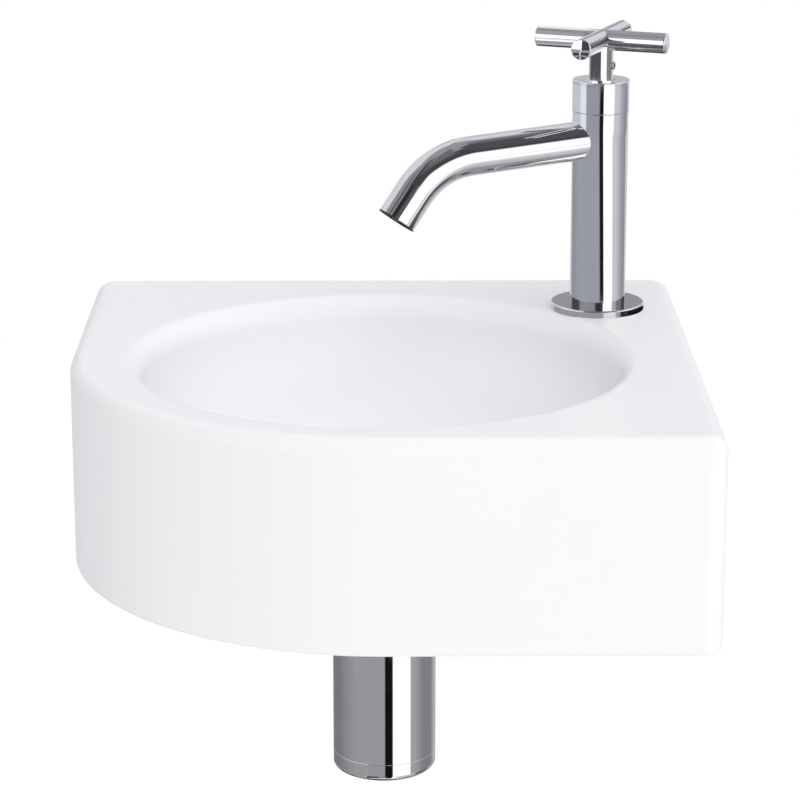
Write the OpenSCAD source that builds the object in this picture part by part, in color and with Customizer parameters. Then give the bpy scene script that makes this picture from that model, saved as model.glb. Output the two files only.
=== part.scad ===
// Small corner hand basin with a pillar tap, a strainer waste and a bottle trap.
// Millimetres, +Z up. The origin lies on the back face, midway between the two wall bolts.
// +X points along the back wall to the second wall, and +Y points into the back wall.

/* [Basin] */
// Width along the back wall
basin_w = 300; // [296:1:330]
// Depth out from the back wall
basin_d = 300; // [296:1:330]
// Height from the lower edge to the deck
basin_h = 100; // [96:1:130]
// Radius of the large rounded front corner
front_corner_r = 150; // [100:1:152]
// Radius of the two corners on the back wall
wall_corner_r = 11; // [9:0.5:16]
// Radius of the front corner on the second wall
side_corner_r = 9; // [8:0.5:14]
// Rounding of the upper edge
top_edge_r = 7; // [3:0.5:7.5]
// Rounding of the lower edge
low_edge_r = 2; // [1:0.5:4]
// Thickness of the deck
deck_t = 12; // [9:0.5:14]
// Thickness of the skirt
skirt_t = 11; // [8:0.5:13]

/* [Bowl] */
// Distance of the bowl's centre from the back wall
bowl_back = 159; // [157:0.5:160]
// Distance of the bowl's centre from the second wall
bowl_side = 151.5; // [150:0.5:154]
// Radius of the bowl's upright wall
bowl_r = 114; // [108:0.5:115]
// Rounding of the bowl's rim
rim_r = 10; // [5:0.5:11]
// Depth from the deck to the bowl's floor
bowl_depth = 75; // [70:1:77]
// Radius of the curve between the bowl's wall and floor
bowl_curve_r = 58; // [40:1:60]
// Thickness of the bowl
bowl_t = 10; // [7:0.5:11]

/* [Wall fixing] */
// Distance between the two wall bolts
bolt_spacing = 180; // [140:5:200]
// Diameter of the wall bolt holes
bolt_hole_d = 12; // [10:0.5:14]
// Depth of the bolt holes below the deck
bolt_drop = 60; // [50:1:70]

/* [Tap place] */
// Distance of the tap from the back wall
tap_back = 64; // [60:0.5:66]
// Distance of the tap from the second wall
tap_side = 41.5; // [38:0.5:43]
// Diameter of the tap hole in the deck
tap_hole_d = 32; // [28:0.5:34]

/* [Tap body] */
// Diameter of the flange on the deck
flange_d = 47; // [44:0.5:50]
// Thickness of the flange
flange_t = 3.5; // [2.5:0.1:5]
// Diameter of the column
column_d = 28; // [27:0.1:30]
// Height of the column above the flange
column_h = 97.8; // [85:0.1:130]
// Diameter of the bonnet above the column
bonnet_d = 28.4; // [28:0.1:32]
// Height of the bonnet
bonnet_h = 15.7; // [14:0.1:20]
// Diameter of the threaded shank below the flange
shank_d = 20.95; // [19:0.05:22]
// Bore of the threaded shank
shank_bore_d = 11; // [8:0.5:12]
// Length of the shank below the deck's upper face
shank_drop = 58; // [50:1:80]
// Diameter of the washers below the deck
washer_d = 38; // [36:0.5:39]
// Width across the flats of the backnut
tap_nut_af = 30; // [28:0.5:32]
// Height of the backnut
tap_nut_h = 9; // [6:0.5:12]

/* [Spout] */
// Outside diameter of the spout
spout_d = 19.5; // [18:0.1:19.8]
// Wall of the spout
spout_wall = 1.4; // [1:0.1:2]
// Height of the spout's root below the seam with the bonnet
spout_drop = 14.1; // [13.6:0.1:20]
// Angle of the spout out from the back wall
spout_turn = 23; // [0:1:45]
// Slope of the spout below level
spout_fall = 2.8; // [0:0.1:8]
// Straight length of the spout from the column's axis
spout_straight = 71.7; // [55:0.1:80]
// Radius of the spout's bend
spout_bend_r = 39.6; // [30:0.1:50]
// Angle of the spout's bend
spout_bend = 51; // [30:1:80]
// Straight length at the spout's tip
spout_tip = 16; // [12:0.5:24]

/* [Handle] */
// Height of the arms' centre above the bonnet
arm_rise = 19.6; // [18:0.1:26]
// Diameter of each arm
arm_d = 10.2; // [9:0.1:11.5]
// Length of each arm from the handle's axis
arm_reach = 34; // [26:0.5:40]
// Rounding of the arms' ends
arm_end_r = 0.6; // [0.3:0.1:2]
// Radius of the crown on the arms' ends
arm_crown_r = 26; // [15:1:60]
// Diameter of the handle's stem
stem_d = 12; // [11.4:0.1:13]
// Turn of the cross clockwise from the walls' directions
handle_turn = 22; // [0:0.1:45]
// Diameter of the grub screw
grub_d = 4; // [3:0.1:4.5]

/* [Valve] */
// Diameter of the threaded seat in the column
valve_seat_d = 20.9; // [20:0.1:22]
// Diameter of the ceramic discs
disc_d = 15.8; // [14:0.1:16]
// Thickness of each ceramic disc
disc_t = 2.6; // [2:0.1:3]
// Diameter of the spindle
spindle_d = 8.4; // [7.6:0.1:8.8]

/* [Waste] */
// Distance of the waste's axis from the second wall
waste_side = 150; // [148:0.5:153]
// Diameter of the waste hole in the bowl
waste_hole_d = 46; // [45:0.5:50]
// Diameter of the strainer plate
strainer_d = 63; // [60:0.5:66]
// Thickness of the strainer plate
strainer_t = 2; // [1.5:0.1:3]
// Thickness of the seal below the strainer plate
strainer_seal_t = 1; // [0.8:0.1:2]
// Outside diameter of the waste tail
tail_d = 41.8; // [40:0.1:42.5]
// Thickness of the seal between the basin and the waste tail
tail_seal_t = 3; // [2:0.1:4]

/* [Trap] */
// Diameter of the bottle
trap_d = 50.5; // [50:0.5:60]
// Height of the bottle and its cup
trap_h = 92; // [84:1:110]
// Height of the screwed cup
cup_h = 9; // [7:0.5:12]
// Wall of the bottle
trap_wall = 1.5; // [1.2:0.1:2]
// Rounding of the cup's lower edge
cup_edge_r = 3; // [1:0.5:6]
// Distance of the outlet's centre below the bottle's shoulder
outlet_drop = 21; // [20.5:0.5:30]
// Outside diameter of the outlet pipe
pipe_d = 32; // [32:0.1:33]
// Wall of the outlet pipe
pipe_wall = 1.2; // [1:0.1:1.6]
// Length of the pipe's end behind the wall's surface
pipe_end = 30; // [20:1:60]
// Diameter of the wall rosette
rosette_d = 70; // [60:1:80]

/* [Hidden] */

// Smoothness of round faces
$fn = 96;
// Gap of a fit between two fixed pieces
fit = 0.1;
// Radial gap of a fit that turns
run_fit = 0.06;
// Overlap that keeps cuts clean
eps = 0.5;
// Radial room around the washers below the deck
washer_gap = 1;

// Places of the main axes and levels
deck_z = bolt_drop;
low_z = deck_z - basin_h;
bowl_x = basin_w / 2 - bowl_side;
waste_x = basin_w / 2 - waste_side;
tap_x = basin_w / 2 - tap_side;
flange_top = deck_z + flange_t;
seam_z = flange_top + column_h;
bonnet_top = seam_z + bonnet_h;
arm_z = bonnet_top + arm_rise;
spout_z = seam_z - spout_drop;

// Basin
waste_recess_t = strainer_t + strainer_seal_t;
waste_recess_gap = 1.5;
waste_boss_t = 10;
waste_boss_gap = 4;
floor_z = deck_z - bowl_depth;
strainer_seat_z = floor_z - waste_recess_t;
boss_z = strainer_seat_z - waste_boss_t;

// Tap fixings below the deck
collar_lip_t = 1.5;
collar_lip_d = 36;
rubber_t = 3;
metal_t = 1.5;
collar_z = deck_z - deck_t - collar_lip_t;
rubber_z = collar_z - rubber_t;
metal_z = rubber_z - metal_t;
shank_up = 12;
flange_land = 2;
flange_seal_gap = 1;
flange_seal_d = flange_d - 2 * flange_land;
flange_seal_bore_d = tap_hole_d + 2 * flange_seal_gap;

// Inside of the tap
water_d = 10;
chamber_drop = 34;
chamber_z = seam_z - chamber_drop;
valve_seal_t = 2;
sleeve_d = 18;
sleeve_bore_d = disc_d + 2 * fit;
sleeve_lip_t = 1.5;
thread_len = 4.9;
bonnet_wall = 1.55;
valve_flange_d = bonnet_d - 2 * bonnet_wall;
valve_flange_t = 3;
valve_hex_af = 17;
valve_hex_t = 4.5;
gland_d = 13;
gland_t = 2.5;
bonnet_roof = 2.2;
disc_z = chamber_z + valve_seal_t + sleeve_lip_t;
disc_gap = 0.05;
moving_z = disc_z + disc_t + disc_gap;
driver_t = 3.5;
driver_z = moving_z + disc_t;
key_w = 3;
key_t = 1.2;
spindle_seal_w = 1.5;
spindle_seal_d = spindle_d + 2 * spindle_seal_w;
seal_groove_t = 2;
stem_gap = 0.8;
stem_hole_gap = 1;
stem_hole_d = stem_d + 2 * stem_hole_gap;
stem_z = seam_z + valve_flange_t + valve_hex_t + gland_t + stem_gap;
spindle_len_in_stem = 15;
spindle_top = stem_z + spindle_len_in_stem;
grub_drop = 12.6;
grub_z = arm_z - grub_drop;
grub_proud = 0.8;
flat_depth = 0.8;
flat_x = spindle_d / 2 - flat_depth;

// Spout
spout_bore_r = spout_d / 2 - spout_wall;
spigot_step = 0.6;
spigot_r = spout_bore_r + spigot_step;
joint_lap = 0.8;
joint_step = 0.05;
aerator_h = 9;
aerator_inset = 0.8;
aerator_wall = 1.6;

// Waste and trap
tail_flange_d = 60;
tail_flange_t = 3;
tail_seal_z = boss_z - tail_seal_t;
tail_flange_z = tail_seal_z - tail_flange_t;
tail_len = 12;
tail_z = tail_flange_z - tail_len;
tail_wall = 3.5;
tail_bore_d = tail_d - 2 * tail_wall;
inlet_flange_gap = 1;
inlet_flange_d = tail_d - 2 * inlet_flange_gap;
spigot_up = 7;
screw_d = 6;
screw_head_d = 11;
cross_rib_w = 4;
cross_rib_t = 7;
inlet_seal_t = 2.5;
collar_t = 1.5;
neck_flange_t = 2.5;
nut_lip_t = 2.5;
neck_d = 35;
neck_wall = 2.2;
neck_len = 4.5;
inlet_nut_d = 49;
nut_top_gap = 2;
inlet_seal_z = tail_z - inlet_seal_t;
collar_top = inlet_seal_z - collar_t;
neck_flange_z = collar_top - neck_flange_t;
inlet_nut_z = neck_flange_z - nut_lip_t;
shoulder_z = neck_flange_z - neck_len;
trap_low = shoulder_z - trap_h;
cup_top = trap_low + cup_h;
cup_floor_t = 2.5;
cup_ring_h = 8;
cup_ring_wall = 2.6;
cup_seal_h = 1.8;
cup_seal_t = 1.1;
cup_seal_drop = 3;
dip_d = 30;
dip_wall = 1.4;
dip_gap = 9;
outlet_z = shoulder_z - outlet_drop;
outlet_len = 15;
outlet_wall = 3;
outlet_nut_d = 40.5;
outlet_nut_h = 14;
outlet_seal_t = 3;
pipe_stop = 4;
pipe_start = trap_d / 2 + pipe_stop;
rosette_depth = 9;
rosette_wall = 1.2;
rosette_edge_r = 5;

// Plane helpers

// Region outside a quarter circle, which rounds a square corner at the origin when it is cut away
module corner_cutter(r) {
    difference() {
        translate([-eps, -eps]) square(r + eps);
        translate([r, r]) circle(r);
    }
}

// Plan of the basin drawn in by an inset on all sides
module basin_plan(inset = 0) {
    w = basin_w - 2 * inset;
    d = basin_d - 2 * inset;
    translate([-w / 2, -basin_d + inset]) difference() {
        square([w, d]);
        corner_cutter(front_corner_r - inset);
        translate([w, 0]) mirror([1, 0]) corner_cutter(max(side_corner_r - inset, 1));
        translate([0, d]) mirror([0, 1]) corner_cutter(max(wall_corner_r - inset, 1));
        translate([w, d]) rotate(180) corner_cutter(max(wall_corner_r - inset, 1));
    }
}

// Straight stretch of an edge rounding, along +X from the origin
module edge_run(length, r) {
    rotate([90, 0, 90]) linear_extrude(length) corner_cutter(r);
}

// Rounding of the edge around one corner, whose arc centre is the origin
module edge_turn(corner_r, r, start) {
    rotate([0, 0, start]) rotate_extrude(angle = 90)
        translate([corner_r, 0]) mirror([1, 0]) corner_cutter(r);
}

// Rounding of the whole lower rim of the basin's plan, at height 0
module plan_edge(r) {
    x0 = -basin_w / 2;
    x1 = basin_w / 2;
    y0 = -basin_d;
    translate([x0 + front_corner_r, y0, 0])
        edge_run(basin_w - front_corner_r - side_corner_r, r);
    translate([x1, y0 + side_corner_r, 0]) rotate([0, 0, 90])
        edge_run(basin_d - side_corner_r - wall_corner_r, r);
    translate([x1 - wall_corner_r, 0, 0]) rotate([0, 0, 180])
        edge_run(basin_w - 2 * wall_corner_r, r);
    translate([x0, -wall_corner_r, 0]) rotate([0, 0, 270])
        edge_run(basin_d - wall_corner_r - front_corner_r, r);
    translate([x0 + front_corner_r, y0 + front_corner_r, 0]) edge_turn(front_corner_r, r, 180);
    translate([x1 - side_corner_r, y0 + side_corner_r, 0]) edge_turn(side_corner_r, r, 270);
    translate([x1 - wall_corner_r, -wall_corner_r, 0]) edge_turn(wall_corner_r, r, 0);
    translate([x0 + wall_corner_r, -wall_corner_r, 0]) edge_turn(wall_corner_r, r, 90);
}

// Half profile of a bowl with upright wall radius r, floor level z and floor curve radius curve
module bowl_profile(r, z, curve, top) {
    difference() {
        translate([0, z]) square([r, top - z]);
        translate([r, z]) mirror([1, 0]) corner_cutter(curve);
    }
}

// Half profile of the flare that rounds the bowl's rim
module rim_profile() {
    difference() {
        translate([bowl_r - eps, deck_z - rim_r]) square([rim_r + eps, rim_r + eps]);
        translate([bowl_r + rim_r, deck_z - rim_r]) circle(rim_r);
    }
}

// Hexagon by its width across the flats
module hexagon(af) {
    circle(r = af / 2 / cos(30), $fn = 6);
}

// Ring between two heights
module ring(d_out, d_in, z0, z1) {
    translate([0, 0, z0]) difference() {
        cylinder(d = d_out, h = z1 - z0);
        translate([0, 0, -eps]) cylinder(d = d_in, h = z1 - z0 + 2 * eps);
    }
}

// Rod along +Z from the origin, with a crowned and rounded far end of the given length
module crowned_rod(r, length, end_r, crown_r) {
    crown_edge = r - end_r;
    rim_z = length - crown_r + sqrt(crown_r * crown_r - crown_edge * crown_edge);
    rotate_extrude() {
        difference() {
            square([r, rim_z]);
            translate([r, rim_z]) rotate(180) corner_cutter(end_r);
        }
        intersection() {
            translate([0, rim_z - end_r]) square([crown_edge, length]);
            translate([0, length - crown_r]) circle(crown_r);
        }
    }
}

// Places its children on the tap's axis
module at_tap() {
    translate([tap_x, -tap_back, 0]) children();
}

// Places its children on the bowl's axis
module at_bowl() {
    translate([bowl_x, -bowl_back, 0]) children();
}

// Places its children on the waste's axis
module at_waste() {
    translate([waste_x, -bowl_back, 0]) children();
}

// Places its children at the spout's root, with +X along the spout
module at_spout() {
    at_tap() translate([0, 0, spout_z]) rotate([0, 0, 180 + spout_turn])
        rotate([0, spout_fall, 0]) children();
}

// Places its children at the end of the spout's bend, with +Z along the tube, in the spout's frame
module at_bend_end() {
    translate([spout_straight + spout_bend_r * sin(spout_bend), 0,
            -spout_bend_r * (1 - cos(spout_bend))])
        rotate([0, 90 + spout_bend, 0]) children();
}

// Places its children at the spout's tip, with +Z back up the tube
module at_tip() {
    at_spout() at_bend_end() translate([0, 0, spout_tip]) rotate([180, 0, 0]) children();
}

// Places its children on the outlet's axis, with +Z towards the wall
module at_outlet() {
    translate([waste_x, -bowl_back, outlet_z]) rotate([-90, 0, 0]) children();
}

// Basin

module basin_shell() {
    difference() {
        translate([0, 0, low_z]) linear_extrude(basin_h) basin_plan();
        translate([0, 0, low_z]) plan_edge(low_edge_r);
        translate([0, 0, deck_z]) mirror([0, 0, 1]) plan_edge(top_edge_r);
    }
}

module basin_underside() {
    difference() {
        translate([0, 0, low_z - eps]) linear_extrude(basin_h - deck_t + eps)
            basin_plan(skirt_t);
        at_bowl() rotate_extrude()
            bowl_profile(bowl_r + bowl_t, floor_z - bowl_t, bowl_curve_r + bowl_t, deck_z);
        at_waste() translate([0, 0, boss_z])
            cylinder(d = tail_flange_d + 2 * waste_boss_gap, h = floor_z - boss_z);
    }
    at_tap() translate([0, 0, low_z - eps])
        cylinder(d = washer_d + 2 * washer_gap, h = basin_h - deck_t + eps);
}

module bowl_space() {
    at_bowl() rotate_extrude() {
        bowl_profile(bowl_r, floor_z, bowl_curve_r, deck_z + eps);
        rim_profile();
    }
    at_waste() {
        translate([0, 0, strainer_seat_z])
            cylinder(d = strainer_d + 2 * waste_recess_gap, h = waste_recess_t + eps);
        translate([0, 0, boss_z - eps])
            cylinder(d = waste_hole_d, h = waste_boss_t + 2 * eps);
    }
}

module wall_bolt_holes() {
    for (side = [-1, 1]) {
        translate([side * bolt_spacing / 2, eps, 0]) rotate([90, 0, 0])
            cylinder(d = bolt_hole_d, h = skirt_t + 2 * eps);
    }
}

module basin() {
    color("white") difference() {
        basin_shell();
        basin_underside();
        bowl_space();
        wall_bolt_holes();
        at_tap() translate([0, 0, deck_z - deck_t - eps])
            cylinder(d = tap_hole_d, h = deck_t + 2 * eps);
    }
}

// Tap body

module tap_flange() {
    edge = 0.6;
    groove_t = 1;
    color("silver") at_tap() difference() {
        translate([0, 0, deck_z]) rotate_extrude() difference() {
            square([flange_d / 2, flange_t]);
            translate([flange_d / 2, flange_t]) rotate(180) corner_cutter(edge);
        }
        translate([0, 0, deck_z - eps]) cylinder(d = shank_d + 2 * fit, h = flange_t + 2 * eps);
        ring(flange_seal_d, flange_seal_bore_d, deck_z - eps, deck_z + groove_t);
    }
}

module flange_seal() {
    seal_t = 0.9;
    color("dimgray") at_tap()
        ring(flange_seal_d - 2 * fit, flange_seal_bore_d + 2 * fit, deck_z, deck_z + seal_t);
}

module tap_column() {
    seam_edge = 0.2;
    color("silver") at_tap() difference() {
        translate([0, 0, flange_top]) rotate_extrude() difference() {
            square([column_d / 2, column_h]);
            translate([column_d / 2, column_h]) rotate(180) corner_cutter(seam_edge);
        }
        translate([0, 0, flange_top - eps]) cylinder(d = shank_d + 2 * fit, h = shank_up + eps);
        translate([0, 0, flange_top]) cylinder(d = water_d, h = column_h);
        translate([0, 0, chamber_z]) cylinder(d = valve_seat_d, h = chamber_drop + eps);
        translate([0, 0, spout_z]) rotate([0, 0, 180 + spout_turn]) rotate([0, 90 + spout_fall, 0])
            cylinder(r = spigot_r + fit, h = column_d);
    }
}

// Solid rod along the spout's route, longer at its far end by a given extra length
module spout_rod(r, extra = 0) {
    rotate([0, 90, 0]) cylinder(r = r, h = spout_straight + joint_lap);
    translate([spout_straight, 0, -spout_bend_r]) rotate([90, 0, 0])
        rotate([0, 0, 90 - spout_bend]) rotate_extrude(angle = spout_bend)
            translate([spout_bend_r, 0]) circle(r + joint_step);
    at_bend_end() translate([0, 0, -joint_lap])
        cylinder(r = r, h = spout_tip + joint_lap + extra);
}

module spout() {
    mouth_edge = 0.5;
    color("silver") difference() {
        at_spout() spout_rod(spout_d / 2);
        at_spout() spout_rod(spout_bore_r, eps);
        difference() {
            at_tap() translate([0, 0, chamber_z])
                cylinder(d = column_d + 2 * fit, h = seam_z - chamber_z);
            at_spout() rotate([0, 90, 0]) cylinder(r = spigot_r, h = column_d);
        }
        at_tap() translate([0, 0, chamber_z])
            cylinder(d = valve_seat_d + 2 * fit, h = seam_z - chamber_z);
        at_tip() translate([0, 0, -eps])
            cylinder(r = spout_bore_r + mouth_edge, h = aerator_inset + eps);
    }
}

module aerator_ring() {
    color("silver") at_tip() translate([0, 0, aerator_inset]) difference() {
        cylinder(r = spout_bore_r - fit, h = aerator_h);
        translate([0, 0, -eps]) cylinder(r = spout_bore_r - aerator_wall, h = aerator_h + 2 * eps);
    }
}

module aerator_grid() {
    grid_t = 6;
    grid_inset = 1;
    hole_d = 1.5;
    hole_step = 2.2;
    disc_r = spout_bore_r - aerator_wall - fit;
    color("whitesmoke") at_tip() translate([0, 0, aerator_inset + grid_inset]) difference() {
        cylinder(r = disc_r, h = grid_t);
        translate([0, 0, -eps]) for (lap = [0:2], k = [0:max(6 * lap - 1, 0)]) {
            rotate(lap == 0 ? 0 : 60 * k / lap) translate([lap * hole_step, 0, 0])
                cylinder(d = hole_d, h = grid_t + 2 * eps, $fn = 24);
        }
    }
}

module bonnet() {
    top_edge = 0.5;
    seam_edge = 0.2;
    color("silver") at_tap() translate([0, 0, seam_z]) difference() {
        rotate_extrude() difference() {
            square([bonnet_d / 2, bonnet_h]);
            translate([bonnet_d / 2, bonnet_h]) rotate(180) corner_cutter(top_edge);
            translate([bonnet_d / 2, 0]) mirror([1, 0]) corner_cutter(seam_edge);
        }
        translate([0, 0, -eps]) cylinder(d = valve_flange_d + 2 * fit,
            h = bonnet_h - bonnet_roof + eps);
        cylinder(d = stem_hole_d, h = bonnet_h + eps);
    }
}

// Valve

module valve_body() {
    inlet_lip = 1.5;
    window_rise = 0.5;
    window_z = driver_z + window_rise;
    window_h = 11;
    window_w = 9;
    color("goldenrod") at_tap() difference() {
        union() {
            translate([0, 0, chamber_z + valve_seal_t])
                cylinder(d = sleeve_d, h = chamber_drop - valve_seal_t);
            translate([0, 0, seam_z - thread_len])
                cylinder(d = valve_seat_d - 2 * fit, h = thread_len);
            translate([0, 0, seam_z]) cylinder(d = valve_flange_d, h = valve_flange_t);
            translate([0, 0, seam_z + valve_flange_t]) linear_extrude(valve_hex_t)
                hexagon(valve_hex_af);
            translate([0, 0, seam_z + valve_flange_t + valve_hex_t])
                cylinder(d = gland_d, h = gland_t);
        }
        translate([0, 0, chamber_z]) cylinder(d = disc_d - 2 * inlet_lip, h = chamber_drop / 2);
        translate([0, 0, disc_z])
            cylinder(d = sleeve_bore_d, h = window_z + window_h - disc_z);
        translate([-window_w / 2, -sleeve_d, window_z]) cube([window_w, 2 * sleeve_d, window_h]);
        translate([0, 0, chamber_z]) cylinder(d = spindle_d + 2 * run_fit, h = 2 * chamber_drop);
        translate([0, 0, seam_z]) cylinder(d = spindle_seal_d, h = seal_groove_t);
    }
}

module valve_seal() {
    bore_gap = 1;
    color("black") at_tap()
        ring(sleeve_d, water_d + 2 * bore_gap, chamber_z, chamber_z + valve_seal_t);
}

// Ceramic disc with two opposite sector ports
module ported_disc(z, turn) {
    port_in = 1.4;
    port_rim = 1.8;
    port_out = disc_d / 2 - port_rim;
    port_start = -45;
    port_angle = 86;
    translate([0, 0, z]) difference() {
        cylinder(d = disc_d, h = disc_t);
        for (half = [0, 180]) {
            rotate([0, 0, turn + half + port_start]) translate([0, 0, -eps])
                rotate_extrude(angle = port_angle) translate([port_in, 0])
                    square([port_out - port_in, disc_t + 2 * eps]);
        }
    }
}

module fixed_disc() {
    color("ivory") at_tap() ported_disc(disc_z, 0);
}

module moving_disc() {
    color("ivory") at_tap() difference() {
        ported_disc(moving_z, 90);
        translate([-disc_d / 2 - eps, -key_w / 2, driver_z - key_t])
            cube([disc_d + 2 * eps, key_w, key_t + eps]);
    }
}

module spindle() {
    driver_gap = 0.2;
    key_inset = 1;
    key_len = disc_d - 2 * key_inset;
    color("goldenrod") at_tap() difference() {
        union() {
            translate([0, 0, driver_z]) cylinder(d = disc_d - 2 * driver_gap, h = driver_t);
            translate([-key_len / 2, -key_w / 2 + fit, driver_z - key_t + fit])
                cube([key_len, key_w - 2 * fit, key_t]);
            translate([0, 0, driver_z]) cylinder(d = spindle_d, h = spindle_top - driver_z);
        }
        rotate([0, 0, -handle_turn]) translate([flat_x, -spindle_d, stem_z])
            cube([spindle_d, 2 * spindle_d, spindle_len_in_stem + eps]);
    }
}

module spindle_seal() {
    color("black") at_tap()
        ring(spindle_seal_d - 2 * fit, spindle_d + 2 * run_fit, seam_z + fit,
            seam_z + seal_groove_t - fit);
}

// Handle

module cross_handle() {
    color("silver") at_tap() rotate([0, 0, -handle_turn]) difference() {
        union() {
            for (turn = [0, 90]) {
                translate([0, 0, arm_z]) rotate([0, 0, turn]) {
                    rotate([0, 90, 0]) crowned_rod(arm_d / 2, arm_reach, arm_end_r, arm_crown_r);
                    rotate([0, -90, 0]) crowned_rod(arm_d / 2, arm_reach, arm_end_r, arm_crown_r);
                }
            }
            translate([0, 0, stem_z]) cylinder(d = stem_d, h = arm_z - stem_z);
        }
        translate([0, 0, stem_z - eps])
            cylinder(d = spindle_d + 2 * run_fit, h = spindle_len_in_stem + 2 * eps);
        translate([0, 0, grub_z]) rotate([0, 90, 0]) cylinder(d = grub_d + 2 * run_fit, h = stem_d);
    }
}

module grub_screw() {
    socket_af = 2;
    socket_depth = 2;
    start = flat_x + fit;
    end = stem_d / 2 + grub_proud;
    color("silver") at_tap() rotate([0, 0, -handle_turn]) translate([start, 0, grub_z])
        rotate([0, 90, 0]) difference() {
            cylinder(d = grub_d, h = end - start);
            translate([0, 0, end - start - socket_depth]) linear_extrude(socket_depth + eps)
                hexagon(socket_af);
        }
}

// Tap fixings

module tap_shank() {
    edge = 1;
    relief_t = 1.5;
    relief_depth = 0.6;
    relief_z = metal_z - tap_nut_h - relief_t;
    color("goldenrod") at_tap() difference() {
        translate([0, 0, deck_z - shank_drop]) rotate_extrude() difference() {
            square([shank_d / 2, shank_drop + flange_t + shank_up - fit]);
            translate([shank_d / 2, 0]) mirror([1, 0]) corner_cutter(edge);
        }
        translate([0, 0, deck_z - shank_drop - eps])
            cylinder(d = shank_bore_d, h = shank_drop + flange_t + shank_up + 2 * eps);
        ring(shank_d + 2 * eps, shank_d - 2 * relief_depth, relief_z, relief_z + relief_t);
    }
}

module centring_collar() {
    stop_gap = 1;
    hole_gap = 0.3;
    color("whitesmoke") at_tap() difference() {
        union() {
            translate([0, 0, collar_z])
                cylinder(d = tap_hole_d - 2 * hole_gap, h = deck_t + collar_lip_t - stop_gap);
            translate([0, 0, collar_z]) cylinder(d = collar_lip_d, h = collar_lip_t);
        }
        translate([0, 0, collar_z - eps]) cylinder(d = shank_d + 2 * fit,
            h = deck_t + collar_lip_t + eps);
    }
}

module rubber_washer() {
    color("black") at_tap() ring(washer_d, shank_d + 2 * fit, rubber_z, rubber_z + rubber_t);
}

module metal_washer() {
    color("gray") at_tap() ring(washer_d, shank_d + 2 * fit, metal_z, metal_z + metal_t);
}

module tap_backnut() {
    color("goldenrod") at_tap() translate([0, 0, metal_z - tap_nut_h]) difference() {
        linear_extrude(tap_nut_h) hexagon(tap_nut_af);
        translate([0, 0, -eps]) cylinder(d = shank_d + 2 * fit, h = tap_nut_h + 2 * eps);
    }
}

// Waste

module strainer_plate() {
    edge = 0.8;
    hole_d = 5;
    // Count of holes and radius of each lap
    laps = [[6, 10.5], [12, 17.5]];
    color("silver") at_waste() difference() {
        translate([0, 0, floor_z - strainer_t]) rotate_extrude() difference() {
            square([strainer_d / 2, strainer_t]);
            translate([strainer_d / 2, strainer_t]) rotate(180) corner_cutter(edge);
        }
        translate([0, 0, floor_z - strainer_t - eps]) {
            for (lap = laps, k = [0:lap[0] - 1]) {
                rotate([0, 0, 360 * k / lap[0]]) translate([lap[1], 0, 0])
                    cylinder(d = hole_d, h = strainer_t + 2 * eps, $fn = 32);
            }
            cylinder(d = screw_d + 2 * fit, h = strainer_t + 2 * eps);
        }
    }
}

module strainer_seal() {
    rim_gap = 1;
    hole_gap = 0.5;
    color("dimgray") at_waste() ring(strainer_d - 2 * rim_gap, waste_hole_d + 2 * hole_gap,
        strainer_seat_z, strainer_seat_z + strainer_seal_t);
}

module strainer_screw() {
    head_t = 2.5;
    head_edge = 1.5;
    slot_w = 1.2;
    slot_depth = 1.2;
    screw_reach = 6;
    screw_end = tail_flange_z - screw_reach;
    color("silver") at_waste() difference() {
        union() {
            translate([0, 0, floor_z]) rotate_extrude() difference() {
                square([screw_head_d / 2, head_t]);
                translate([screw_head_d / 2, head_t]) rotate(180) corner_cutter(head_edge);
            }
            translate([0, 0, screw_end]) cylinder(d = screw_d, h = floor_z - screw_end);
        }
        translate([-screw_head_d, -slot_w / 2, floor_z + head_t - slot_depth])
            cube([2 * screw_head_d, slot_w, slot_depth + eps]);
    }
}

module waste_tail() {
    rib_lap = 1;
    cross_boss_w = 2.5;
    color("silver") at_waste() difference() {
        union() {
            difference() {
                union() {
                    translate([0, 0, tail_z])
                        cylinder(d = tail_d, h = boss_z + spigot_up - tail_z);
                    translate([0, 0, tail_flange_z]) cylinder(d = tail_flange_d, h = tail_flange_t);
                }
                translate([0, 0, tail_z - eps])
                    cylinder(d = tail_bore_d, h = boss_z + spigot_up - tail_z + 2 * eps);
            }
            translate([-tail_bore_d / 2 - rib_lap, -cross_rib_w / 2,
                    tail_flange_z - cross_rib_t / 2])
                cube([tail_bore_d + 2 * rib_lap, cross_rib_w, cross_rib_t]);
            translate([0, 0, tail_flange_z - cross_rib_t / 2])
                cylinder(d = screw_d + 2 * cross_boss_w, h = cross_rib_t);
        }
        translate([0, 0, tail_flange_z - cross_rib_t])
            cylinder(d = screw_d + 2 * fit, h = 2 * cross_rib_t);
    }
}

module tail_seal() {
    rim_gap = 0.5;
    color("black") at_waste()
        ring(tail_flange_d - 2 * rim_gap, tail_d + 2 * fit, tail_seal_z, boss_z);
}

// Trap

module trap_inlet_nut() {
    grip_count = 24;
    grip_d = 1.6;
    nut_h = tail_flange_z - nut_top_gap - inlet_nut_z;
    color("silver") at_waste() translate([0, 0, inlet_nut_z]) difference() {
        cylinder(d = inlet_nut_d, h = nut_h);
        translate([0, 0, nut_lip_t]) cylinder(d = tail_d + 2 * fit, h = nut_h);
        translate([0, 0, -eps]) cylinder(d = neck_d + 4 * fit, h = nut_h);
        for (k = [0:grip_count - 1]) {
            rotate([0, 0, 360 * k / grip_count])
                translate([inlet_nut_d / 2 + grip_d / 4, 0, -eps])
                    cylinder(d = grip_d, h = nut_h + 2 * eps, $fn = 24);
        }
    }
}

module trap_inlet_seal() {
    color("black") at_waste()
        ring(inlet_flange_d, dip_d - 2 * dip_wall, inlet_seal_z, tail_z);
}

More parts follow.
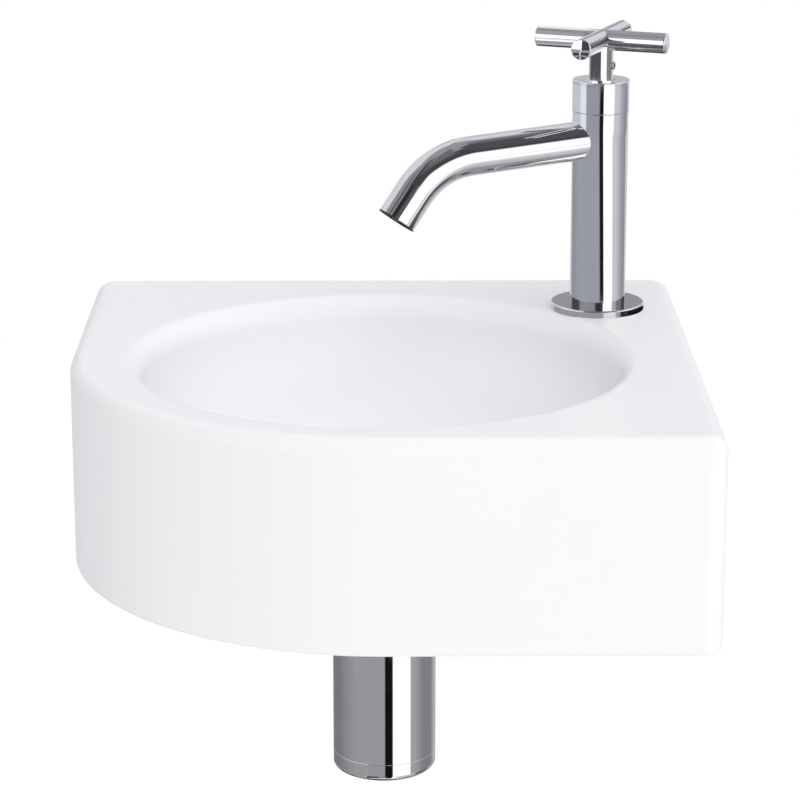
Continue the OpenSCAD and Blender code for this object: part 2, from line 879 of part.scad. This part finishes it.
module dip_tube() {
    color("whitesmoke") at_waste() difference() {
        union() {
            translate([0, 0, collar_top]) cylinder(d = inlet_flange_d, h = collar_t);
            translate([0, 0, trap_low + cup_floor_t + dip_gap])
                cylinder(d = dip_d, h = collar_top - trap_low - cup_floor_t - dip_gap + eps);
        }
        translate([0, 0, trap_low]) cylinder(d = dip_d - 2 * dip_wall, h = tail_z - trap_low);
    }
}

module trap_body() {
    shoulder_r = 4;
    bottle_h = shoulder_z - cup_top;
    color("silver") difference() {
        union() {
            at_waste() {
                translate([0, 0, cup_top]) rotate_extrude() difference() {
                    square([trap_d / 2, bottle_h]);
                    translate([trap_d / 2, bottle_h]) rotate(180) corner_cutter(shoulder_r);
                }
                translate([0, 0, shoulder_z - eps])
                    cylinder(d = neck_d, h = neck_flange_z - shoulder_z + 2 * eps);
                translate([0, 0, neck_flange_z]) cylinder(d = inlet_flange_d, h = neck_flange_t);
            }
            at_outlet() cylinder(r = pipe_d / 2 + outlet_wall, h = trap_d / 2 + outlet_len);
        }
        at_waste() {
            translate([0, 0, cup_top - eps])
                cylinder(d = trap_d - 2 * trap_wall, h = bottle_h - trap_wall + eps);
            translate([0, 0, cup_top]) cylinder(d = neck_d - 2 * neck_wall, h = 2 * bottle_h);
        }
        at_outlet() {
            cylinder(r = pipe_d / 2 - pipe_wall, h = trap_d);
            translate([0, 0, pipe_start]) cylinder(r = pipe_d / 2 + fit, h = trap_d);
        }
    }
}

module trap_cup() {
    seam_edge = 0.2;
    ring_d = trap_d - 2 * trap_wall - 2 * run_fit;
    groove_z = cup_top + cup_ring_h - cup_seal_drop - cup_seal_h;
    color("silver") at_waste() difference() {
        union() {
            translate([0, 0, trap_low]) rotate_extrude() difference() {
                square([trap_d / 2, cup_h]);
                translate([trap_d / 2, 0]) mirror([1, 0]) corner_cutter(cup_edge_r);
                translate([trap_d / 2, cup_h]) rotate(180) corner_cutter(seam_edge);
            }
            translate([0, 0, cup_top]) cylinder(d = ring_d, h = cup_ring_h);
        }
        translate([0, 0, trap_low + cup_floor_t])
            cylinder(d = ring_d - 2 * cup_ring_wall, h = cup_h + cup_ring_h);
        ring(trap_d, ring_d - 2 * cup_seal_t - 2 * run_fit, groove_z - fit,
            groove_z + cup_seal_h + fit);
    }
}

module cup_seal() {
    ring_d = trap_d - 2 * trap_wall - 2 * run_fit;
    groove_z = cup_top + cup_ring_h - cup_seal_drop - cup_seal_h;
    color("black") at_waste()
        ring(ring_d, ring_d - 2 * cup_seal_t, groove_z, groove_z + cup_seal_h);
}

module outlet_seal() {
    rim_gap = 0.5;
    color("black") at_outlet() translate([0, 0, trap_d / 2 + outlet_len]) difference() {
        cylinder(r = pipe_d / 2 + outlet_wall - rim_gap, h = outlet_seal_t);
        translate([0, 0, -eps]) cylinder(r = pipe_d / 2 + fit, h = outlet_seal_t + 2 * eps);
    }
}

module outlet_nut() {
    grip_count = 20;
    grip_d = 1.6;
    lip_t = 2;
    nut_end = trap_d / 2 + outlet_len + outlet_seal_t + lip_t;
    color("silver") at_outlet() translate([0, 0, nut_end - outlet_nut_h]) difference() {
        cylinder(d = outlet_nut_d, h = outlet_nut_h);
        translate([0, 0, -eps]) cylinder(d = pipe_d + 4 * fit, h = outlet_nut_h + 2 * eps);
        translate([0, 0, -eps]) cylinder(r = pipe_d / 2 + outlet_wall + fit,
            h = outlet_nut_h - lip_t + eps);
        for (k = [0:grip_count - 1]) {
            rotate([0, 0, 360 * k / grip_count])
                translate([outlet_nut_d / 2 + grip_d / 2, 0, -eps])
                    cylinder(d = grip_d, h = outlet_nut_h + 2 * eps, $fn = 24);
        }
    }
}

module outlet_pipe() {
    mark_w = 1.5;
    mark_depth = 0.3;
    color("silver") at_outlet() difference() {
        translate([0, 0, pipe_start + fit])
            cylinder(d = pipe_d, h = bowl_back + pipe_end - pipe_start - fit);
        cylinder(d = pipe_d - 2 * pipe_wall, h = 2 * bowl_back);
        ring(pipe_d + 2 * eps, pipe_d - 2 * mark_depth, bowl_back, bowl_back + mark_w);
    }
}

module wall_rosette() {
    color("silver") at_outlet() translate([0, 0, bowl_back]) rotate([180, 0, 0]) difference() {
        rotate_extrude() difference() {
            square([rosette_d / 2, rosette_depth]);
            translate([rosette_d / 2, rosette_depth]) rotate(180) corner_cutter(rosette_edge_r);
        }
        translate([0, 0, -eps]) rotate_extrude() difference() {
            square([rosette_d / 2 - rosette_wall, rosette_depth - rosette_wall + eps]);
            translate([rosette_d / 2 - rosette_wall, rosette_depth - rosette_wall + eps])
                rotate(180) corner_cutter(rosette_edge_r - rosette_wall);
        }
        translate([0, 0, -eps]) cylinder(d = pipe_d + 2 * fit, h = rosette_depth + 2 * eps);
    }
}

basin();
tap_flange();
flange_seal();
tap_column();
spout();
aerator_ring();
aerator_grid();
bonnet();
valve_body();
valve_seal();
fixed_disc();
moving_disc();
spindle();
spindle_seal();
cross_handle();
grub_screw();
tap_shank();
centring_collar();
rubber_washer();
metal_washer();
tap_backnut();
strainer_plate();
strainer_seal();
strainer_screw();
waste_tail();
tail_seal();
trap_inlet_nut();
trap_inlet_seal();
dip_tube();
trap_body();
trap_cup();
cup_seal();
outlet_nut();
outlet_seal();
outlet_pipe();
wall_rosette();
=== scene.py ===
import math

import bmesh
import bpy
from mathutils import Matrix, Vector


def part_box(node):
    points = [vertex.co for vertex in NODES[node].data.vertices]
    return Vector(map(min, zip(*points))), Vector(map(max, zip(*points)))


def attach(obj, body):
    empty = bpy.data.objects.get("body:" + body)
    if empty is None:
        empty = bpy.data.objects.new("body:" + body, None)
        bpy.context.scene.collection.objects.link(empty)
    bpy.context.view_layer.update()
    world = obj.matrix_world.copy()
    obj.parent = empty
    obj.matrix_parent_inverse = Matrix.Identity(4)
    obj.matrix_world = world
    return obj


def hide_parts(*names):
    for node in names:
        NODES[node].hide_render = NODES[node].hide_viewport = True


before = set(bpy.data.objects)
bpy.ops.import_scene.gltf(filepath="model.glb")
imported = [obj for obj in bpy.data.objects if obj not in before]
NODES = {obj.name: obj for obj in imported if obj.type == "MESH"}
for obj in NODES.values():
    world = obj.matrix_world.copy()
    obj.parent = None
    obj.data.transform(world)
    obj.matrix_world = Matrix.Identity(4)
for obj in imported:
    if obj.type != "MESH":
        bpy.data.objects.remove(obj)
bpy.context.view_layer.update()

MM = 0.001
DEGREES = 180.0 / math.pi
PURE_WHITE = (1.0, 1.0, 1.0, 1.0)

CHROME_NODES = [
    "tap_flange", "tap_column", "spout", "aerator_ring", "bonnet", "cross_handle",
    "strainer_plate", "waste_tail", "trap_inlet_nut", "trap_body", "trap_cup",
    "outlet_nut", "outlet_pipe", "wall_rosette",
]
BRASS_NODES = ["valve_body", "spindle", "tap_shank", "tap_backnut"]
RUBBER_NODES = [
    "flange_seal", "valve_seal", "spindle_seal", "rubber_washer", "strainer_seal",
    "tail_seal", "trap_inlet_seal", "cup_seal", "outlet_seal",
]
PLASTIC_NODES = ["aerator_grid", "centring_collar", "dip_tube"]
DISC_NODES = ["fixed_disc", "moving_disc"]
STEEL_NODES = ["grub_screw", "metal_washer", "strainer_screw"]

# Pieces that the chrome doesn't mirror, so that its stripes stay calm
CALM_NODES = [
    "basin", "bonnet", "spout", "aerator_ring", "aerator_grid", "grub_screw", "valve_body",
    "valve_seal", "fixed_disc", "moving_disc", "spindle", "spindle_seal", "tap_shank",
]

# Part of the noise's range over which tints and roughness change
NOISE_LOW = 0.3
NOISE_HIGH = 0.7


def new_material(name):
    material = bpy.data.materials.new(name)
    material.use_nodes = True
    tree = material.node_tree
    tree.nodes.clear()
    output = tree.nodes.new("ShaderNodeOutputMaterial")
    shader = tree.nodes.new("ShaderNodeBsdfPrincipled")
    tree.links.new(shader.outputs["BSDF"], output.inputs["Surface"])
    return material, tree, shader


def noise(tree, scale, detail=4.0, roughness=0.55):
    place = tree.nodes.new("ShaderNodeTexCoord")
    texture = tree.nodes.new("ShaderNodeTexNoise")
    texture.inputs["Scale"].default_value = scale
    texture.inputs["Detail"].default_value = detail
    texture.inputs["Roughness"].default_value = roughness
    tree.links.new(place.outputs["Object"], texture.inputs["Vector"])
    return texture.outputs["Fac"]


def ramp(tree, source, stops):
    """Colour that follows the source through the stops, which are positions and colours."""
    node = tree.nodes.new("ShaderNodeValToRGB")
    elements = node.color_ramp.elements
    while len(elements) > 1:
        elements.remove(elements[-1])
    elements[0].position = stops[0][0]
    elements[0].color = (*stops[0][1], 1.0)
    for position, colour in stops[1:]:
        element = elements.new(position)
        element.color = (*colour, 1.0)
    tree.links.new(source, node.inputs["Fac"])
    return node.outputs["Color"]


def grey(value):
    return (value, value, value)


def tinted(tree, shader, scale, low, high):
    """Base colour that wanders between two tints."""
    tint = ramp(tree, noise(tree, scale), [(NOISE_LOW, low), (NOISE_HIGH, high)])
    tree.links.new(tint, shader.inputs["Base Color"])


def rough(tree, shader, scale, low, high):
    """Roughness that wanders between two values."""
    spread = tree.nodes.new("ShaderNodeMapRange")
    spread.inputs["From Min"].default_value = NOISE_LOW
    spread.inputs["From Max"].default_value = NOISE_HIGH
    spread.inputs["To Min"].default_value = low
    spread.inputs["To Max"].default_value = high
    tree.links.new(noise(tree, scale), spread.inputs["Value"])
    tree.links.new(spread.outputs["Result"], shader.inputs["Roughness"])


def fine_bump(tree, shader, scale, distance):
    bump = tree.nodes.new("ShaderNodeBump")
    bump.inputs["Strength"].default_value = 1.0
    bump.inputs["Distance"].default_value = distance
    tree.links.new(noise(tree, scale, detail=6.0), bump.inputs["Height"])
    tree.links.new(bump.outputs["Normal"], shader.inputs["Normal"])


def glaze_material():
    material, tree, shader = new_material("glaze")
    tinted(tree, shader, 9.0, (0.925, 0.936, 0.955), (0.938, 0.948, 0.966))
    rough(tree, shader, 14.0, 0.32, 0.38)
    shader.inputs["IOR"].default_value = 1.5
    return material


def chrome_material():
    material, tree, shader = new_material("chrome")
    tinted(tree, shader, 60.0, (0.91, 0.915, 0.925), (0.94, 0.943, 0.95))
    rough(tree, shader, 120.0, 0.015, 0.03)
    shader.inputs["Metallic"].default_value = 1.0
    return material


def brass_material():
    material, tree, shader = new_material("brass")
    tinted(tree, shader, 90.0, (0.72, 0.52, 0.24), (0.82, 0.63, 0.32))
    rough(tree, shader, 160.0, 0.22, 0.34)
    shader.inputs["Metallic"].default_value = 1.0
    return material


def rubber_material():
    material, tree, shader = new_material("rubber")
    tinted(tree, shader, 220.0, grey(0.018), grey(0.032))
    rough(tree, shader, 300.0, 0.55, 0.7)
    fine_bump(tree, shader, 900.0, 0.04 * MM)
    return material


def plastic_material():
    material, tree, shader = new_material("white_plastic")
    tinted(tree, shader, 40.0, (0.80, 0.80, 0.775), (0.85, 0.85, 0.83))
    rough(tree, shader, 200.0, 0.3, 0.4)
    return material


def disc_material():
    material, tree, shader = new_material("disc_ceramic")
    tinted(tree, shader, 400.0, (0.80, 0.76, 0.68), (0.86, 0.83, 0.76))
    rough(tree, shader, 500.0, 0.25, 0.35)
    return material


def steel_material():
    material, tree, shader = new_material("steel")
    tinted(tree, shader, 150.0, (0.56, 0.57, 0.585), (0.64, 0.65, 0.665))
    rough(tree, shader, 400.0, 0.18, 0.3)
    shader.inputs["Metallic"].default_value = 1.0
    return material


def dress(names, material):
    for name in names:
        materials = NODES[name].data.materials
        materials.clear()
        materials.append(material)


chrome = chrome_material()
rubber = rubber_material()
dress(["basin"], glaze_material())
dress(CHROME_NODES, chrome)
dress(BRASS_NODES, brass_material())
dress(RUBBER_NODES, rubber)
dress(PLASTIC_NODES, plastic_material())
dress(DISC_NODES, disc_material())
dress(STEEL_NODES, steel_material())
for name in CALM_NODES:
    NODES[name].visible_glossy = False


def quarter(middle_r, middle_z, radius, start, steps=5):
    """Quarter of a circle in a profile, as points from the start angle in degrees anticlockwise."""
    points = []
    for step in range(steps + 1):
        angle = math.radians(start + 90.0 * step / steps)
        points.append((middle_r + radius * math.cos(angle), middle_z + radius * math.sin(angle)))
    return points


# Edges of a turned piece that bend by less than this many degrees are shaded smooth
SMOOTH_BELOW = 30.0


def lathe(name, profile, centre, material, steps=160):
    """Ring turned from a closed profile of radius and height around an upright axis."""
    shape = bmesh.new()
    loops = []
    for step in range(steps):
        angle = 2.0 * math.pi * step / steps
        side = Vector((math.cos(angle), math.sin(angle), 0.0))
        loops.append([shape.verts.new(side * radius + Vector((centre[0], centre[1], height)))
                      for radius, height in profile])
    count = len(profile)
    for step in range(steps):
        here, after = loops[step], loops[(step + 1) % steps]
        for index in range(count):
            ahead = (index + 1) % count
            shape.faces.new((here[index], after[index], after[ahead], here[ahead]))
    bmesh.ops.recalc_face_normals(shape, faces=shape.faces)
    for face in shape.faces:
        face.smooth = True
    for edge in shape.edges:
        edge.smooth = edge.calc_face_angle(0.0) < math.radians(SMOOTH_BELOW)
    mesh = bpy.data.meshes.new(name)
    shape.to_mesh(mesh)
    shape.free()
    mesh.materials.append(material)
    piece = bpy.data.objects.new(name, mesh)
    bpy.context.scene.collection.objects.link(piece)
    return piece


def column_size():
    """Middle and radius of the tap's column, and the heights of its foot and top."""
    low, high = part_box("tap_column")
    return (low + high) / 2.0, (high.x - low.x) / 2.0, low.z, high.z


def column_shell():
    """Chrome skin that stands for the column, whose own mesh has a bent normal below the spout."""
    centre, radius, foot, top = column_size()
    wall = 0.6 * MM
    edge = 0.2 * MM
    below_edge = 0.05 * MM
    profile = [(radius - wall, foot), (radius, foot), (radius, top - edge - below_edge)]
    profile += quarter(radius - edge, top - edge, edge, 0.0)
    profile += [(radius - wall, top)]
    piece = lathe("column_shell", profile, centre, chrome)
    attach(piece, "fixed")
    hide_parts("tap_column")


def seam_shade_ring():
    """Dark ring that paints the shade in the gap between the column and the bonnet."""
    centre, radius, _, top = column_size()
    depth = 0.3 * MM
    proud = 0.03 * MM
    below = 0.17 * MM
    above = 0.14 * MM
    profile = [
        (radius - depth, top - below), (radius + proud, top - below),
        (radius + proud, top + above), (radius - depth, top + above),
    ]
    piece = lathe("seam_shade_ring", profile, centre, rubber)
    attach(piece, "fixed")


# Direction of the spout's tip, the spout's radius, and the way from the middle of the aerator's
# ring to the mouth
TIP_SIDE = (-0.5436, -0.2308, -0.8070)
SPOUT_R = 9.75 * MM
RING_TO_MOUTH = 5.3 * MM


def mouth_shade_ring():
    """Dark ring that paints the shade of the spout's opening around its mouth, and also lines the
    short wall in front of the ring.
    """
    low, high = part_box("aerator_ring")
    along = Vector(TIP_SIDE).normalized()
    mouth = (low + high) / 2.0 + along * RING_TO_MOUTH
    inner = 8.75 * MM
    lining = 0.2 * MM
    proud = 0.1 * MM
    outside = 0.4 * MM
    inside_mouth = 0.79 * MM
    profile = [
        (inner, -inside_mouth), (inner + lining, -inside_mouth), (SPOUT_R + proud, -outside),
        (SPOUT_R + proud, proud), (inner, proud),
    ]
    piece = lathe("mouth_shade_ring", profile, (0.0, 0.0), rubber)
    turn = along.to_track_quat("Z", "Y").to_matrix().to_4x4()
    piece.data.transform(Matrix.Translation(mouth) @ turn)
    piece.visible_glossy = False
    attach(piece, "fixed")


column_shell()
# Painted shade: a dark ring in the column–bonnet gap and another at the spout's opening
seam_shade_ring()
mouth_shade_ring()

# Plain light on all that isn't a mirror: an even level, a lean that makes it stronger from above,
# less light from the left, and two wide lamps, each with its direction and strength
LIGHT_LEVEL = 0.69
LIGHT_LEAN = (0.0, -0.04, 0.26)
LEFT_SHADE = 0.44
LAMP_FOCUS = 2.0
LAMPS = [((0.0, -0.66, 0.75), 0.46), ((0.75, -0.62, 0.1), 0.22)]

# Tones of the room that the chrome mirrors, each a little bluer than grey
BACK = (0.68, 0.69, 0.74)
WHITE = (1.15, 1.15, 1.15)
MID = (0.30, 0.305, 0.33)
SHADE = (0.15, 0.153, 0.165)
CHARCOAL = (0.055, 0.057, 0.064)
BLACK = (0.006, 0.006, 0.008)

# All angles of the room are in degrees. Azimuth is 0 at the front and grows towards the right.
# The room is white over this range of azimuth, with soft edges, and has the back's tone elsewhere.
FRONT_HALF = (-100.0, 100.0)
FRONT_SOFTNESS = 20.0

# Azimuth range, elevation range, edge softness and colour of each panel, painted in this order
PANELS = [
    ((-200, 200), (60, 95), 8, MID),
    ((162, 200), (10, 17), 4, MID),
    ((-200, -170), (10, 17), 4, MID),
    ((-100, -60), (30, 75), 14, (0.27, 0.272, 0.285)),
    ((-66, -30), (32, 74), 12, (0.11, 0.112, 0.12)),
    ((-38, 62), (25, 64), 7, CHARCOAL),
    ((-38, 14), (17, 40), 6, CHARCOAL),
    ((-26, 34), (50, 90), 14, SHADE),
    ((50, 104), (40, 74), 7, (0.075, 0.078, 0.088)),
    ((104, 140), (54, 74), 8, SHADE),
    ((-200, 200), (-95, -70), 5, CHARCOAL),
    ((30, 190), (-66, -27), 16, (0.55, 0.55, 0.585)),
    ((66, 190), (-84, -46), 12, (0.30, 0.302, 0.33)),
    ((-175, 2), (-58, -22), 3, (0.31, 0.313, 0.33)),
    ((2, 19), (-58, -22), 1.5, BLACK),
    ((78, 122), (-46, -24), 6, (0.10, 0.102, 0.11)),
    ((118, 142), (4, 12), 2, (0.12, 0.122, 0.13)),
    ((-110, -46), (-76, -54), 4, (0.36, 0.36, 0.375)),
    ((-200, -125), (-80, -34), 8, CHARCOAL),
    ((150, 200), (-80, -55), 8, CHARCOAL),
    ((-18, 9), (-34, 24), 3, (0.10, 0.102, 0.11)),
    ((-29, -16), (26, 36), 3, (0.02, 0.02, 0.024)),
    ((-37.5, -16), (-16, 12), 1.5, CHARCOAL),
    ((-41.2, -16), (-33, -9), 1.5, CHARCOAL),
    ((-62, -42.6), (-27, -14.5), 1.5, CHARCOAL),
    ((-45.5, -16), (-60, -32), 1.5, CHARCOAL),
]

# Narrow cards seen in the handle's side arms. CARD_SIDE is the arms' direction. Each card has the
# place of its middle and half its width along that direction, its side of the room, its range of
# elevation and its colour. A card reaches past the room's middle by CARD_REACH.
CARD_SIDE = (0.927, -0.375, 0.0)
CARD_REACH = 0.05
CARD_SOFTNESS = 4.0
FRONT = -1.0
REAR = 1.0
CARDS = [
    (-0.318, 0.013, FRONT, (27, 66), (0.36, 0.362, 0.375)),
    (-0.318, 0.013, FRONT, (-40, 27), WHITE),
    (-0.318, 0.013, REAR, (14, 60), (0.85, 0.86, 0.89)),
    (-0.281, 0.021, FRONT, (33, 64), (0.34, 0.34, 0.355)),
    (-0.281, 0.021, FRONT, (-12, 33), WHITE),
    (-0.281, 0.021, FRONT, (-90, -12), (0.085, 0.087, 0.094)),
    (-0.281, 0.021, REAR, (14, 66), (0.34, 0.342, 0.36)),
]

# Slices are the narrow bands of elevation that the upright walls and flat tops of the tap and the
# trap mirror. Each has its range of elevation, how far it leans (degrees towards the right for a
# degree down from its middle), and its colours by azimuth: start angle, colour and softness.
SLICE_SOFTNESS = 0.06
SLICES = [
    ((-23.3, -20.6), 0.0, [
        (-180, (0.40, 0.40, 0.42), 1), (-160, (0.19, 0.192, 0.205), 5),
        (-95, (0.32, 0.323, 0.34), 30), (1, BLACK, 1), (19, WHITE, 1),
        (61, (0.36, 0.36, 0.375), 1), (84, (0.22, 0.22, 0.235), 12), (138, (0.45, 0.45, 0.47), 10),
    ]),
    ((-14.5, -14.04), 0.0, [
        (-180, (0.55, 0.55, 0.60), 1), (-140, (0.31, 0.315, 0.355), 8), (12, (0.72, 0.73, 0.76), 3),
        (43, (0.32, 0.32, 0.34), 3), (56, BLACK, 2),
    ]),
    ((-14.04, -10.7), 4.6, [
        (-180, (0.64, 0.65, 0.70), 1), (-150, (0.30, 0.305, 0.335), 4),
        (-110, (0.34, 0.345, 0.385), 10), (-0.5, BLACK, 3), (15.5, WHITE, 1),
        (54, (0.59, 0.60, 0.64), 3), (86, (0.35, 0.355, 0.39), 14), (112, (0.28, 0.285, 0.31), 8),
        (134, (0.64, 0.65, 0.70), 5),
    ]),
    ((-10.8, -9.74), 0.0, [
        (-180, (0.58, 0.585, 0.63), 1), (-94, (0.80, 0.82, 0.90), 4), (-65, (0.32, 0.325, 0.365), 2),
        (-8, BLACK, 3), (8, WHITE, 1), (53, (0.59, 0.60, 0.64), 3), (86, (0.35, 0.355, 0.39), 14),
        (112, (0.26, 0.265, 0.29), 8), (134, (0.64, 0.65, 0.70), 5),
    ]),
    ((-9.82, -8.9), 0.0, [
        (-180, (0.30, 0.30, 0.32), 1), (-128, (0.075, 0.077, 0.088), 8), (-8, WHITE, 2),
        (47, (0.22, 0.22, 0.23), 3), (112, (0.70, 0.70, 0.73), 4),
    ]),
    ((13.6, 14.6), 0.0, [
        (-180, MID, 1), (-134, (0.05, 0.052, 0.06), 6), (-82, (0.24, 0.245, 0.275), 4),
        (-12, (0.03, 0.031, 0.036), 5), (20, WHITE, 2), (60, (0.42, 0.42, 0.45), 3),
        (80, (0.18, 0.182, 0.20), 6), (115, (0.05, 0.052, 0.06), 6), (150, MID, 3),
    ]),
]


def math_node(tree, operation, first, second=None):
    node = tree.nodes.new("ShaderNodeMath")
    node.operation = operation
    for place, value in ((0, first), (1, second)):
        if value is None:
            continue
        if isinstance(value, (int, float)):
            node.inputs[place].default_value = value
        else:
            tree.links.new(value, node.inputs[place])
    return node.outputs[0]


def times(tree, first, second):
    return math_node(tree, "MULTIPLY", first, second)


def plus(tree, first, second):
    return math_node(tree, "ADD", first, second)


def distance_from(tree, value, middle):
    return math_node(tree, "ABSOLUTE", math_node(tree, "SUBTRACT", value, middle))


def mix_colour(tree, factor, first, second):
    node = tree.nodes.new("ShaderNodeMix")
    node.data_type = "RGBA"
    tree.links.new(factor, node.inputs["Factor"])
    for socket, value in ((node.inputs["A"], first), (node.inputs["B"], second)):
        if isinstance(value, tuple):
            socket.default_value = (*value, 1.0)
        else:
            tree.links.new(value, socket)
    return node.outputs["Result"]


def inside(tree, angle, low, high, softness):
    """Factor that is 1 while the angle lies between low and high, with soft edges."""
    half = (high - low) / 2.0
    edge = tree.nodes.new("ShaderNodeMapRange")
    edge.inputs["From Min"].default_value = half + softness / 2.0
    edge.inputs["From Max"].default_value = half - softness / 2.0
    tree.links.new(distance_from(tree, angle, (low + high) / 2.0), edge.inputs["Value"])
    return edge.outputs["Result"]


def towards(tree, axes, side):
    """How far the direction in axes points to a side of the room."""
    parts = [times(tree, axis, amount) for axis, amount in zip(axes, side)]
    return plus(tree, parts[0], plus(tree, parts[1], parts[2]))


def bands(tree, turned, stops):
    """Colours of a slice by azimuth, where turned goes from 0 to 1 once around the room."""
    points = [(0.0, stops[0][1])]
    for before, (start, colour, softness) in zip(stops, stops[1:]):
        points.append(((start - softness + 180.0) / 360.0, before[1]))
        points.append(((start + softness + 180.0) / 360.0, colour))
    return ramp(tree, turned, points)


def mirrored_room(tree, axes):
    """Colour that the chrome mirrors in the direction in axes."""
    x, y, z = axes
    azimuth = times(tree, math_node(tree, "ARCTAN2", x, times(tree, y, -1.0)), DEGREES)
    elevation = times(tree, math_node(tree, "ARCSINE", z), DEGREES)
    picture = mix_colour(tree, inside(tree, azimuth, *FRONT_HALF, FRONT_SOFTNESS), BACK, WHITE)

    for across, up, softness, colour in PANELS:
        factor = times(tree, inside(tree, azimuth, *across, softness),
                       inside(tree, elevation, *up, softness))
        picture = mix_colour(tree, factor, picture, colour)

    along = towards(tree, axes, CARD_SIDE)
    for middle, half, side, up, colour in CARDS:
        factor = math_node(tree, "LESS_THAN", distance_from(tree, along, middle), half)
        factor = times(tree, factor, inside(tree, elevation, *up, CARD_SOFTNESS))
        room = math_node(tree, "GREATER_THAN", times(tree, y, side), -CARD_REACH)
        picture = mix_colour(tree, times(tree, factor, room), picture, colour)

    for up, lean, stops in SLICES:
        above = math_node(tree, "SUBTRACT", elevation, (up[0] + up[1]) / 2.0)
        turned = plus(tree, plus(tree, azimuth, times(tree, above, lean)), 180.0)
        turned = math_node(tree, "DIVIDE", turned, 360.0)
        factor = inside(tree, elevation, *up, SLICE_SOFTNESS)
        picture = mix_colour(tree, factor, picture, bands(tree, turned, stops))
    return picture


def plain_light(tree, axes):
    """Strength of the light that comes from the direction in axes."""
    level = plus(tree, towards(tree, axes, LIGHT_LEAN), LIGHT_LEVEL)
    for side, strength in LAMPS:
        lamp = math_node(tree, "MAXIMUM", towards(tree, axes, side), 0.0)
        lamp = times(tree, math_node(tree, "POWER", lamp, LAMP_FOCUS), strength)
        level = plus(tree, level, lamp)
    shade = times(tree, math_node(tree, "MINIMUM", axes[0], 0.0), LEFT_SHADE)
    return plus(tree, level, shade)


def mix_shaders(tree, factor, first, second):
    node = tree.nodes.new("ShaderNodeMixShader")
    tree.links.new(factor, node.inputs["Fac"])
    tree.links.new(first, node.inputs[1])
    tree.links.new(second, node.inputs[2])
    return node.outputs["Shader"]


def studio_world():
    """Plain light for pale surfaces, the mirrored room for gloss, and white as the background."""
    world = bpy.data.worlds.new("studio")
    bpy.context.scene.world = world
    world.use_nodes = True
    tree = world.node_tree
    tree.nodes.clear()
    output = tree.nodes.new("ShaderNodeOutputWorld")
    place = tree.nodes.new("ShaderNodeTexCoord")
    split = tree.nodes.new("ShaderNodeSeparateXYZ")
    tree.links.new(place.outputs["Generated"], split.inputs["Vector"])
    axes = (split.outputs["X"], split.outputs["Y"], split.outputs["Z"])

    light = tree.nodes.new("ShaderNodeBackground")
    light.inputs["Color"].default_value = PURE_WHITE
    tree.links.new(plain_light(tree, axes), light.inputs["Strength"])
    mirror = tree.nodes.new("ShaderNodeBackground")
    tree.links.new(mirrored_room(tree, axes), mirror.inputs["Color"])
    white = tree.nodes.new("ShaderNodeBackground")
    white.inputs["Color"].default_value = PURE_WHITE

    paths = tree.nodes.new("ShaderNodeLightPath")
    lit = mix_shaders(tree, paths.outputs["Is Glossy Ray"], light.outputs["Background"],
                      mirror.outputs["Background"])
    seen = math_node(tree, "MAXIMUM", paths.outputs["Is Camera Ray"],
                     paths.outputs["Is Transmission Ray"])
    surface = mix_shaders(tree, seen, lit, white.outputs["Background"])
    tree.links.new(surface, output.inputs["Surface"])
    world.cycles.sampling_method = "NONE"


# Camera of the photograph: film width and focal length in millimetres, place in metres, the
# picture's right side and the way that the camera looks
SENSOR_WIDTH = 36.0
FOCAL_LENGTH = 134.22
CAMERA_PLACE = (-0.00232, -1.53405, 0.43030)
CAMERA_RIGHT = (0.99997, -0.00730, 0.0)
CAMERA_FORWARD = (0.00702, 0.96164, -0.27424)
NEAREST_SEEN = 0.01
FARTHEST_SEEN = 50.0


def photo_camera():
    data = bpy.data.cameras.new("photo_camera")
    data.sensor_width = SENSOR_WIDTH
    data.lens = FOCAL_LENGTH
    data.clip_start = NEAREST_SEEN
    data.clip_end = FARTHEST_SEEN
    camera = bpy.data.objects.new("photo_camera", data)
    bpy.context.scene.collection.objects.link(camera)
    forward = Vector(CAMERA_FORWARD).normalized()
    up = Vector(CAMERA_RIGHT).cross(forward).normalized()
    right = forward.cross(up).normalized()
    turn = Matrix((right, up, -forward)).transposed()
    camera.matrix_world = Matrix.Translation(CAMERA_PLACE) @ turn.to_4x4()
    bpy.context.scene.camera = camera


# The floor lies low, so that views from below aren't blocked. Its own glow keeps it white.
FLOOR_Z = -1.7
FLOOR_SIZE = 13.0
FLOOR_DARK = 0.49
FLOOR_LIGHT = 0.51
FLOOR_GLOW = 0.58


def floor_material():
    material, tree, shader = new_material("floor")
    tinted(tree, shader, 3.0, grey(FLOOR_DARK), grey(FLOOR_LIGHT))
    shader.inputs["Roughness"].default_value = 1.0
    shader.inputs["Specular IOR Level"].default_value = 0.0
    shader.inputs["Emission Color"].default_value = PURE_WHITE
    shader.inputs["Emission Strength"].default_value = FLOOR_GLOW
    return material


def studio_floor():
    mesh = bpy.data.meshes.new("floor")
    half = FLOOR_SIZE / 2.0
    sides = ((-half, -half), (half, -half), (half, half), (-half, half))
    mesh.from_pydata([(x, y, FLOOR_Z) for x, y in sides], [], [(0, 1, 2, 3)])
    mesh.materials.append(floor_material())
    floor = bpy.data.objects.new("floor", mesh)
    bpy.context.scene.collection.objects.link(floor)
    floor.visible_glossy = False


studio_world()
studio_floor()
photo_camera()
bpy.context.scene.view_settings.view_transform = "Standard"
